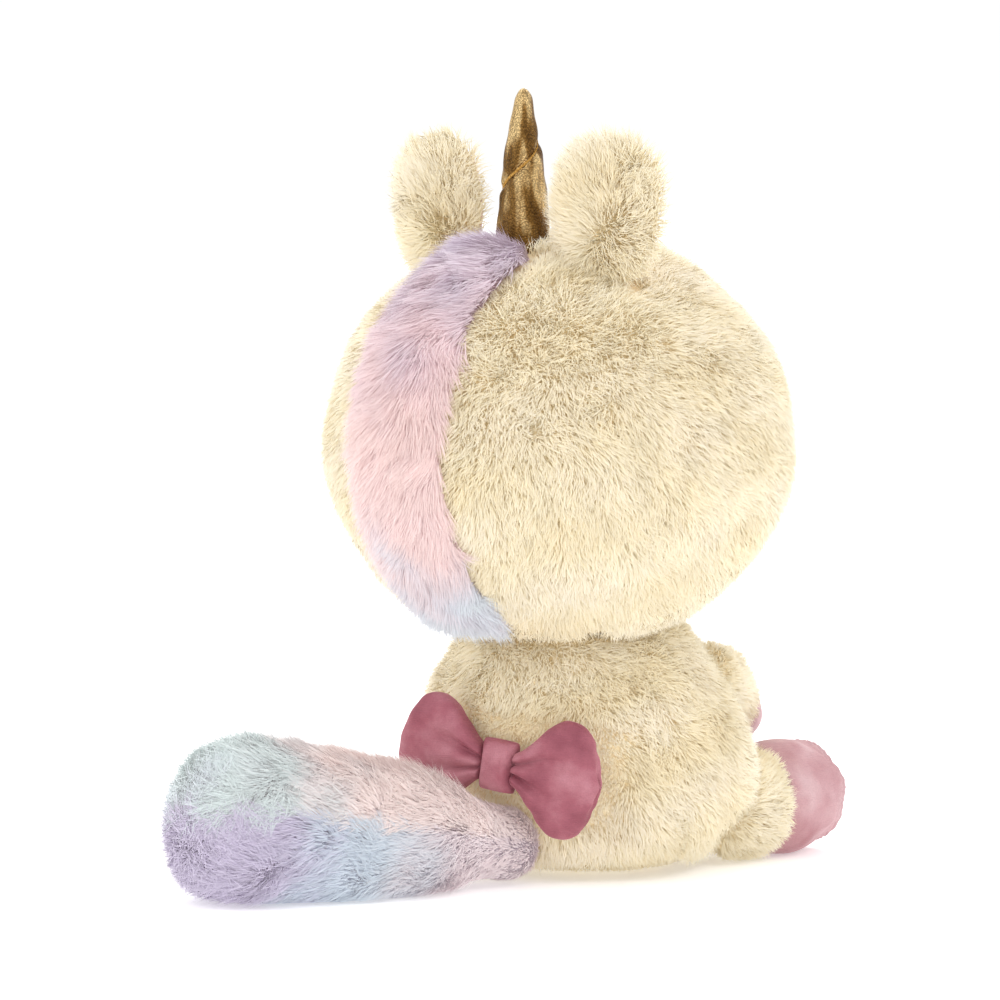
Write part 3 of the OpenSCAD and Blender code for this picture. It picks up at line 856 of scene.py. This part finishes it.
def build_horn():
    m = 96
    ang = np.linspace(0, 2 * math.pi, m, endpoint=False)
    rows = []
    for z in np.concatenate([[-3.0], np.linspace(-3.0, HORN_TALL, 110)]):
        r = horn_radius(max(z, 0.0)) * np.ones(m)
        away = np.abs((ang - horn_phase(z) + math.pi) % (2 * math.pi) - math.pi)
        along = away * STITCH_PITCH / (2 * math.pi)
        depth = smooth(z, STITCH_FROM - 3, STITCH_FROM) * (1 - smooth(z, STITCH_TO, STITCH_TO + 2))
        r = r - depth * 1.0 * np.exp(-(along / 1.7) ** 2) * min(1.0, horn_radius(max(z, 0)) / 5)
        p = np.column_stack([r * np.cos(ang), r * np.sin(ang), np.full(m, z)])
        pucker = 0.05 * waves(p * [1, 1, 0.5], 3.4, 71) + 0.12 * waves(p, 9, 72)
        p[:, :2] *= (1 + pucker / np.maximum(r, 2))[:, None]
        rows.append(p)
    verts, faces = loft(rows)
    horn = add_mesh("horn_shell", verts, faces, HORN, horn_lame)
    finished(horn, "horn", ["horn_cover", "horn_stuffing"])
    z = np.linspace(STITCH_FROM - 1, STITCH_TO + 2, 160)
    r = horn_radius(z) - 0.8 * np.minimum(1, horn_radius(z) / 5)
    a = horn_phase(z)
    path = np.column_stack([r * np.cos(a), r * np.sin(a), z])
    stitch = satin_tube("horn_stitches", path, 0.33, 1.6, HORN, horn_stitch)
    finished(stitch, "horn", ["horn_thread"])


# ---------------------------------------------------------------- torso
TORSO_R = 48.0
EDGE_R = 28.0
NECK_AT, NECK_R = (9.0, 48.0), 40.0
TORSO_LOW, TORSO_TOP = 1.4, 82.0


def torso_radius(z, phi, inset):
    """Radius of the torso about (0, 4) at height z, as a soft union of its round base and its upper ball."""
    flat = TORSO_R - EDGE_R
    low = flat - inset + TORSO_LOW + math.sqrt(max((EDGE_R - TORSO_LOW) ** 2 - max(EDGE_R - z, 0) ** 2, 0))
    high = math.sqrt(max((TORSO_R - inset) ** 2 - max(z - EDGE_R, 0) ** 2, 0))
    base = low if z < EDGE_R else high
    upper = math.sqrt(max((NECK_R - inset) ** 2 - (z - NECK_AT[1]) ** 2, 0))
    reach = []
    for cy, r in ((0.0, base), (NECK_AT[0], upper)):
        off = cy - 4.0
        s = off * np.sin(phi)
        inside = r ** 2 - (off * np.cos(phi)) ** 2
        reach.append(np.where(inside > 0, s + np.sqrt(np.maximum(inside, 0)), 0))
    k = 0.32
    return np.log(np.exp(k * reach[0]) + np.exp(k * reach[1])) / k - 0.35


def torso_cover():
    m = 144
    phi = np.linspace(0, 2 * math.pi, m, endpoint=False)
    rows = []
    base = TORSO_LOW + 26 * (1 - np.cos(np.linspace(0.15, 1.57, 22)))
    heights = np.concatenate([[TORSO_LOW, TORSO_LOW], base, np.linspace(28.5, TORSO_TOP, 56), [TORSO_TOP]])
    for i, z in enumerate(heights):
        r = torso_radius(z, phi, BACKING)
        if i in (0, len(heights) - 1):
            r = r * 0.02
        p = np.column_stack([r * np.cos(phi), 4 + r * np.sin(phi), np.full(m, z)])
        out = unit(p - [0, 4, 34])
        if 1 < i < len(heights) - 1:
            p = p + out * (0.9 * waves(p, 30, 41) * smooth(z, 4, 16))[:, None]
        flat = p - HEAD.origin
        rho = np.clip((flat[:, 0] ** 2 + flat[:, 1] ** 2) / (HEAD_R - 1) ** 2, 0, 1)
        bowl = HEAD.origin[2] - (HEAD_H - 1.5) * np.sqrt(1 - rho) - 0.4
        under = (flat[:, 0] ** 2 + flat[:, 1] ** 2) < (HEAD_R - 1) ** 2
        p[:, 2] = np.where(under, np.minimum(p[:, 2], bowl), p[:, 2])
        rows.append(p)
    verts, faces = loft(rows)
    return add_mesh("torso_cover", verts, faces, WORLD, cream_cloth)


def torso_keep(p, n):
    """Pile is short at the neck crease, under the bow and about the limbs, and absent under the base."""
    flat = p - HEAD.origin
    rho = np.clip((flat[:, 0] ** 2 + flat[:, 1] ** 2) / HEAD_R ** 2, 0, 1)
    gap = HEAD.origin[2] - (HEAD_H - BACKING) * np.sqrt(1 - rho) - p[:, 2]
    size = smooth(gap, 0.5, 6) * 0.75 + 0.25
    size[gap < 1.2] = 0
    bow = BOW.into(p)
    under = (1 - smooth(np.abs(bow[:, 0]), 27, 34)) * (1 - smooth(np.abs(bow[:, 2]), 12, 18)) * (p[:, 1] > 30)
    size = size * (1 - 0.72 * under)
    tail = TAIL.into(p)
    size[np.linalg.norm(tail, axis=1) < 9.5] = 0
    for side in (1, -1):
        size[np.linalg.norm(HIPS[side].into(p), axis=1) < 13] = 0
        size[np.linalg.norm(SHOULDERS[side].into(p), axis=1) < 7.5] = 0
    size[(n[:, 2] < -0.8)] *= 0.3
    size[(p[:, 2] < 2.2) & (n[:, 2] < -0.9)] = 0
    return size


def build_torso():
    cover = torso_cover()
    finished(cover, "torso", ["torso_stuffing", "torso_base", "neck_seam"])
    split = corner("torso_belly", True)[1]

    def panel(which):
        def keep(p, n):
            size = torso_keep(p, n)
            front = p[:, 1] < split
            mine = front if which == "belly" else ~front & ((p[:, 0] > 0) == (which == "left"))
            return np.where(mine, size, 0)
        return keep

    for k, (which, node) in enumerate((("left", "torso_back_left"), ("right", "torso_back_right"),
                                       ("belly", "torso_belly"))):
        fur = grow(f"torso_pile_{which}", [cover], cream_pile, 400 + k, keep=panel(which), **CREAM_PILE)
        finished(fur, "torso", [node])


# ---------------------------------------------------------------- tail
TAIL_LEN = 102.0


def tail_radius(s):
    """Stuffed club: a slim root that swells fast, a full end and a round tip."""
    body = 9.0 + 7.0 * smooth(s, 8, 34) + 3.0 * smooth(s, 30, 80)
    tip = 19.0
    close = np.clip((TAIL_LEN - 3 - s) / tip, 0, 1)
    start = np.clip((s + 6) / 8, 0, 1)
    return body * np.sqrt(close * (2 - close)) * np.sqrt(start * (2 - start))


def build_tail():
    m, rows = 96, []
    for s in np.concatenate([[-6.0], np.linspace(-6.0, TAIL_LEN - 3.0, 90)]):
        r = tail_radius(s)
        c = ring(r, r, m)
        p = np.column_stack([c, np.full(m, s)])
        p[:, :2] += unit(c + 1e-6) * (0.8 * waves(p, 26, 61) * min(r / 15, 1))[:, None]
        rows.append(p)
    verts, faces = loft(rows)
    cover = add_mesh("tail_cover", verts, faces, TAIL, tail_cloth)
    finished(cover, "tail", ["tail_stuffing"])
    split = spin("z", 12)

    def upper_side(p):
        return (TAIL.into(p) @ split)[:, 1] < 0

    def comb(p, n):
        q = TAIL.into(p)
        d = np.column_stack([0.25 * q[:, 0] / 16, 0.25 * q[:, 1] / 16, 0.9 - 0.5 * smooth(q[:, 2], 70, 100)])
        return TAIL.along(d)

    def hue(p, rng):
        s = TAIL.into(p)[:, 2]
        return np.clip(s / TAIL_LEN + 0.035 * waves(p, 17, 63) + rng.normal(size=len(p)) * 0.025, 0, 1)

    def part(up):
        def keep(p, n):
            q = TAIL.into(p)
            size = smooth(q[:, 2], -3, 18) * 0.5 + 0.5
            size = size * (1 - 0.35 * smooth(-p[:, 2], -7, -3))
            bow = BOW.into(p)
            hit = (bow[:, 1] < 9) & (np.abs(bow[:, 0]) < 30)
            size = np.where(hit, size * 0.7, size)
            return np.where(upper_side(p) == up, size, 0)
        return keep

    panels = (("upper", True, tail_upper_pile), ("lower", False, tail_lower_pile))
    for k, (name, up, material) in enumerate(panels):
        fur = grow(f"tail_pile_{name}", [cover], material, 500 + k, per_mm2=9.0, length=9.5, comb=comb,
                   lean=61, width=0.28, tuft=4.6, gather=0.32, stray=0.42, keep=part(up), hue=hue)
        finished(fur, "tail", [f"tail_{name}"])


# ---------------------------------------------------------------- bow
LOOP_FROM, LOOP_TO = 4.5, 32.5
LOOP_HIGH, LOOP_NECK, LOOP_WIDEST = 16.8, 4.6, 0.6


def loop_half_height(t):
    """Half height of a bow loop, t from the knot to its round outer end."""
    spread = LOOP_NECK + (LOOP_HIGH - LOOP_NECK) * smooth(t, 0.0, LOOP_WIDEST) ** 0.9
    past = max(t - LOOP_WIDEST, 0) / (1 - LOOP_WIDEST)
    return spread * math.sqrt(max(1 - past ** 2.8, 0.0004))


def build_loop(name, side):
    """A stuffed loop: front and back faces meet in an edge seam, and two pleats run out of the knot."""
    steps, m = 44, 64
    rows = []
    for t in np.sin(np.linspace(0, math.pi / 2, steps)):
        x = LOOP_FROM + (LOOP_TO - LOOP_FROM) * t
        h = loop_half_height(t)
        a = np.linspace(0, 2 * math.pi, m, endpoint=False)
        v = np.sign(np.sin(a)) * np.abs(np.sin(a)) ** 0.8
        puff = (5.4 - 0.9 * t) * (0.72 + 0.28 * np.sin(np.pi * min(t * 1.1, 1)))
        puff = puff * np.sqrt(np.clip(1 - np.clip((t - 0.82) / 0.18, 0, 1) ** 2, 0.03, 1))
        y = puff * np.sign(np.cos(a)) * np.abs(np.cos(a)) ** 0.75
        crease = np.exp(-((v - 0.34) / 0.15) ** 2) + np.exp(-((v + 0.30) / 0.13) ** 2)
        crease = crease * (1 - smooth(t, 0.3, 0.78)) * 3.2
        y = y - np.sign(y) * np.minimum(crease, np.abs(y) * 0.8)
        z = h * v
        bend = 1.3 * np.sin(np.pi * t) * (1 - v ** 2)
        xx = np.full(m, x) - 1.6 * (v ** 2) * t
        p = np.column_stack([xx, y + 0.4 * bend, z])
        p[:, 1] += 0.28 * waves(p * [0.6, 0, 1.2], 5.0, 81 + side) * min(t * 3, 1)
        rows.append(p)
    verts, faces = loft(rows)
    verts = np.array(verts)
    verts[:, 0] *= side
    faces = [tuple(reversed(f)) for f in faces] if side < 0 else faces
    loop = add_mesh(f"bow_loop_{name}", verts, faces, BOW, bow_velvet)
    finished(loop, "bow", [f"bow_{name}_cover", f"bow_{name}_filling"])


def build_bow():
    for name, side in SIDES:
        build_loop(name, side)
    rows, m = [], 40
    for t in np.linspace(-1, 1, 36):
        a = np.linspace(0, 2 * math.pi, m, endpoint=False)
        w = 6.2 * (1 - 0.22 * (1 - t ** 2))
        thick = 4.9
        x = w * np.sign(np.cos(a)) * np.abs(np.cos(a)) ** 0.7
        y = thick * np.sign(np.sin(a)) * np.abs(np.sin(a)) ** 0.8
        fold = 0.45 * np.cos(x * 1.9 + 0.6 * t) * (1 - 0.5 * np.abs(t))
        y = y + np.sign(y) * fold
        end = math.sqrt(max(1 - abs(t) ** 3.4, 0.0))
        rows.append(np.column_stack([x * (0.75 + 0.25 * end), y * end, np.full(m, 7.5 * t)]))
    verts, faces = loft(rows)
    knot = add_mesh("bow_knot_band", verts, faces, BOW, bow_velvet)
    finished(knot, "bow", ["bow_knot"])


# ---------------------------------------------------------------- legs
def profile_tube(points, m, wobble, seed):
    """Rows of a turned shape from (radius, height) pairs, a little uneven."""
    rows = []
    for r, z in points:
        c = ring(r, r, m)
        p = np.column_stack([c, np.full(m, z)])
        p[:, :2] += unit(c + 1e-6) * (wobble * waves(p, 11, seed) * min(r / 8, 1))[:, None]
        rows.append(p)
    return rows


def arc(cx, cz, r, a0, a1, n):
    a = np.radians(np.linspace(a0, a1, n))
    return [(cx + r * math.cos(t), cz + r * math.sin(t)) for t in a]


HIND_R = 13.2          # under the pile
FRONT_R = 7.6
HIND_SEAM = 36.0       # seam of the sole, from the hip
HIND_CUFF = 12.0       # the sleeve's pile ends here


def build_hind_leg(name, side):
    place, body = HIPS[side], f"hind_leg_{name}"
    pts = [(0.01, -HIND_R)] + arc(0, 0, HIND_R, -89, 0, 16)
    pts += [(HIND_R, z) for z in np.linspace(1, 14.5, 9)] + [(12.5, 16), (0.01, 16.1)]
    verts, faces = loft(profile_tube(pts, 72, 0.35, 600 + side))
    sleeve = add_mesh(f"hind_{name}_sleeve_cover", verts, faces, place, cream_cloth)
    finished(sleeve, body, [f"hind_{name}_stuffing"])

    def comb(p, n, place=place):
        return place.along(np.tile([0, 0, 0.9], (len(p), 1)))

    def keep(p, n, place=place):
        q = place.into(p)
        inside = (np.hypot(p[:, 0], p[:, 1] - 2) < 40) & (q[:, 2] < 3)
        return np.where(inside | (q[:, 2] > HIND_CUFF), 0, 1 - 0.45 * smooth(q[:, 2], 5, HIND_CUFF))

    fur = grow(f"hind_{name}_pile", [sleeve], cream_pile, 610 + side, per_mm2=4.2, length=5.8, comb=comb,
               width=0.3, keep=keep, hue=cream_hue)
    finished(fur, body, [f"hind_{name}_sleeve"])
    pts = [(12.0, 11.2), (14.8, 11.6)]
    for z in np.linspace(12.4, HIND_SEAM - 1.2, 22):
        t = (z - 12.4) / (HIND_SEAM - 13.6)
        pts.append((15.2 + 1.6 * math.sin(math.pi * min(t * 1.05, 1)) ** 0.8, z))
    pts += [(15.1, HIND_SEAM - 0.6), (14.7, HIND_SEAM), (14.6, HIND_SEAM + 0.3)]
    sole = ((14.9, 0.8), (14.4, 1.7), (12.8, 2.5), (9.2, 3.1), (4.6, 3.3), (0.01, 3.35))
    pts += [(r, HIND_SEAM + z) for r, z in sole]
    rows, m = [], 120
    a = np.linspace(0, 2 * math.pi, m, endpoint=False)
    for r, z in [(0.01, 11.2)] + pts:
        near = math.exp(-((z - HIND_SEAM) / 3.2) ** 2)
        rr = r + near * 0.22 * np.sin(a * 34 + 3 * np.sin(a * 5)) * min(r / 10, 1)
        p = np.column_stack([rr * np.cos(a), rr * np.sin(a), np.full(m, z)])
        p[:, :2] += unit(p[:, :2] + 1e-6) * (0.3 * waves(p, 12, 620 + side) * min(r / 8, 1))[:, None]
        rows.append(p)
    verts, faces = loft(rows)
    hoof = add_mesh(f"hind_{name}_hoof_velvet", verts, faces, place, hoof_velvet)
    finished(hoof, body, [f"hind_{name}_hoof", f"hind_{name}_sole"])


def build_front_leg(name, side):
    place, body = SHOULDERS[side], f"front_leg_{name}"
    pts = [(0.01, -FRONT_R)] + arc(0, 0, FRONT_R, -88, 0, 12)
    pts += [(FRONT_R, z) for z in np.linspace(1.5, 29, 16)] + [(0.01, 30)]
    verts, faces = loft(profile_tube(pts, 48, 0.3, 700 + side))
    sleeve = add_mesh(f"front_{name}_sleeve_cover", verts, faces, place, cream_cloth)
    finished(sleeve, body, [f"front_{name}_stuffing"])

    def comb(p, n, place=place):
        return place.along(np.tile([0, 0, 0.9], (len(p), 1)))

    def keep(p, n, place=place):
        q = place.into(p)
        return np.where(q[:, 2] > 29.6, 0, 0.6 + 0.4 * smooth(q[:, 2], -4, 6))

    fur = grow(f"front_{name}_pile", [sleeve], cream_pile, 710 + side, per_mm2=4.2, length=5.0, comb=comb,
               width=0.3, keep=keep, hue=cream_hue)
    finished(fur, body, [f"front_{name}_sleeve"])
    pts = [(0.01, 27.5), (7.4, 27.6), (8.8, 28.0), (9.5, 28.9)] + [(9.9, z) for z in np.linspace(30, 38, 8)]
    pts += arc(0, 39, 9.9, 2, 88, 14) + [(0.01, 48.9)]
    verts, faces = loft(profile_tube(pts, 64, 0.25, 720 + side))
    hoof = add_mesh(f"front_{name}_hoof_velvet", verts, faces, place, hoof_velvet)
    finished(hoof, body, [f"front_{name}_hoof"])


# ---------------------------------------------------------------- carried over
def dress_inside():
    """CAD pieces inside the toy keep their shape and get their own cloth."""
    looks = {
        "bean_bag": pouch_cloth, "neck_stuffing": filling_cloth,
        "eye_washer_left": filling_cloth, "eye_washer_right": filling_cloth, "bow_tack": embroidery,
    }
    for node, material in looks.items():
        me = frame["nodes"][node].data
        me.materials.clear()
        me.materials.append(material)


# ---------------------------------------------------------------- stage
CAMERA = (209, 4.5, 1.6)      # azimuth and elevation in degrees, distance in metres
AIM = (22.2, 12.3, 105.6)     # millimetres
FLOOR_HALF = 6000


def area_light(name, at, aim, size, power):
    data = bpy.data.lights.new(name, "AREA")
    data.shape, data.size, data.energy = "DISK", size, power
    lamp = bpy.data.objects.new(name, data)
    lamp.location = at
    direction = np.array(aim) - np.array(at)
    lamp.rotation_euler = Vector(direction).to_track_quat("-Z", "Y").to_euler()
    bpy.context.scene.collection.objects.link(lamp)


def build_stage():
    m = Nodes("white_floor", 0.9, Specular_IOR_Level=0.1)
    m.base(m.ramp(m.noise(3), [(0.3, grey(0.95)), (0.7, grey(0.97))]))
    m.shader.inputs["Emission Color"].default_value = (1, 1, 1, 1)
    m.shader.inputs["Emission Strength"].default_value = 0.3
    verts = [[x * FLOOR_HALF, y * FLOOR_HALF, 0] for x, y in ((-1, -1), (1, -1), (1, 1), (-1, 1))]
    floor = add_mesh("floor", verts, [(0, 1, 2, 3)], WORLD, m.material)
    world = bpy.data.worlds.new("studio")
    bpy.context.scene.world = world
    world.use_nodes = True
    background = world.node_tree.nodes["Background"]
    background.inputs["Color"].default_value = (1, 1, 1, 1)
    background.inputs["Strength"].default_value = 1.02
    azimuth, elevation, distance = math.radians(CAMERA[0]), math.radians(CAMERA[1]), CAMERA[2]
    back = np.array([math.sin(azimuth) * math.cos(elevation), -math.cos(azimuth) * math.cos(elevation),
                     math.sin(elevation)])
    target = np.array(AIM) * MM
    cam = bpy.data.objects.new("camera", bpy.data.cameras.new("camera"))
    cam.data.lens, cam.data.sensor_width = 200, 36
    cam.location = Vector(target + back * distance)
    cam.rotation_euler = Vector(-back).to_track_quat("-Z", "Y").to_euler()
    cam.data.clip_start, cam.data.clip_end = 0.05, 60
    bpy.context.scene.collection.objects.link(cam)
    bpy.context.scene.camera = cam
    right = np.array([math.cos(azimuth), math.sin(azimuth), 0.0])
    area_light("key", target + back * 0.7 + right * 1.1 + [0, 0, 1.1], target, 1.1, 4.5)
    area_light("fill", target + back * 0.6 - right * 1.1 + [0, 0, 0.8], target, 1.2, 3.5)
    area_light("rim", target - back * 0.9 + [0, 0, 1.4], target, 1.2, 8)
    bpy.context.scene.view_settings.view_transform = "Standard"


build_head()
build_face()
build_mane()
build_ears()
build_horn()
build_torso()
build_tail()
build_bow()
for name, side in SIDES:
    build_hind_leg(name, side)
    build_front_leg(name, side)
dress_inside()
build_stage()
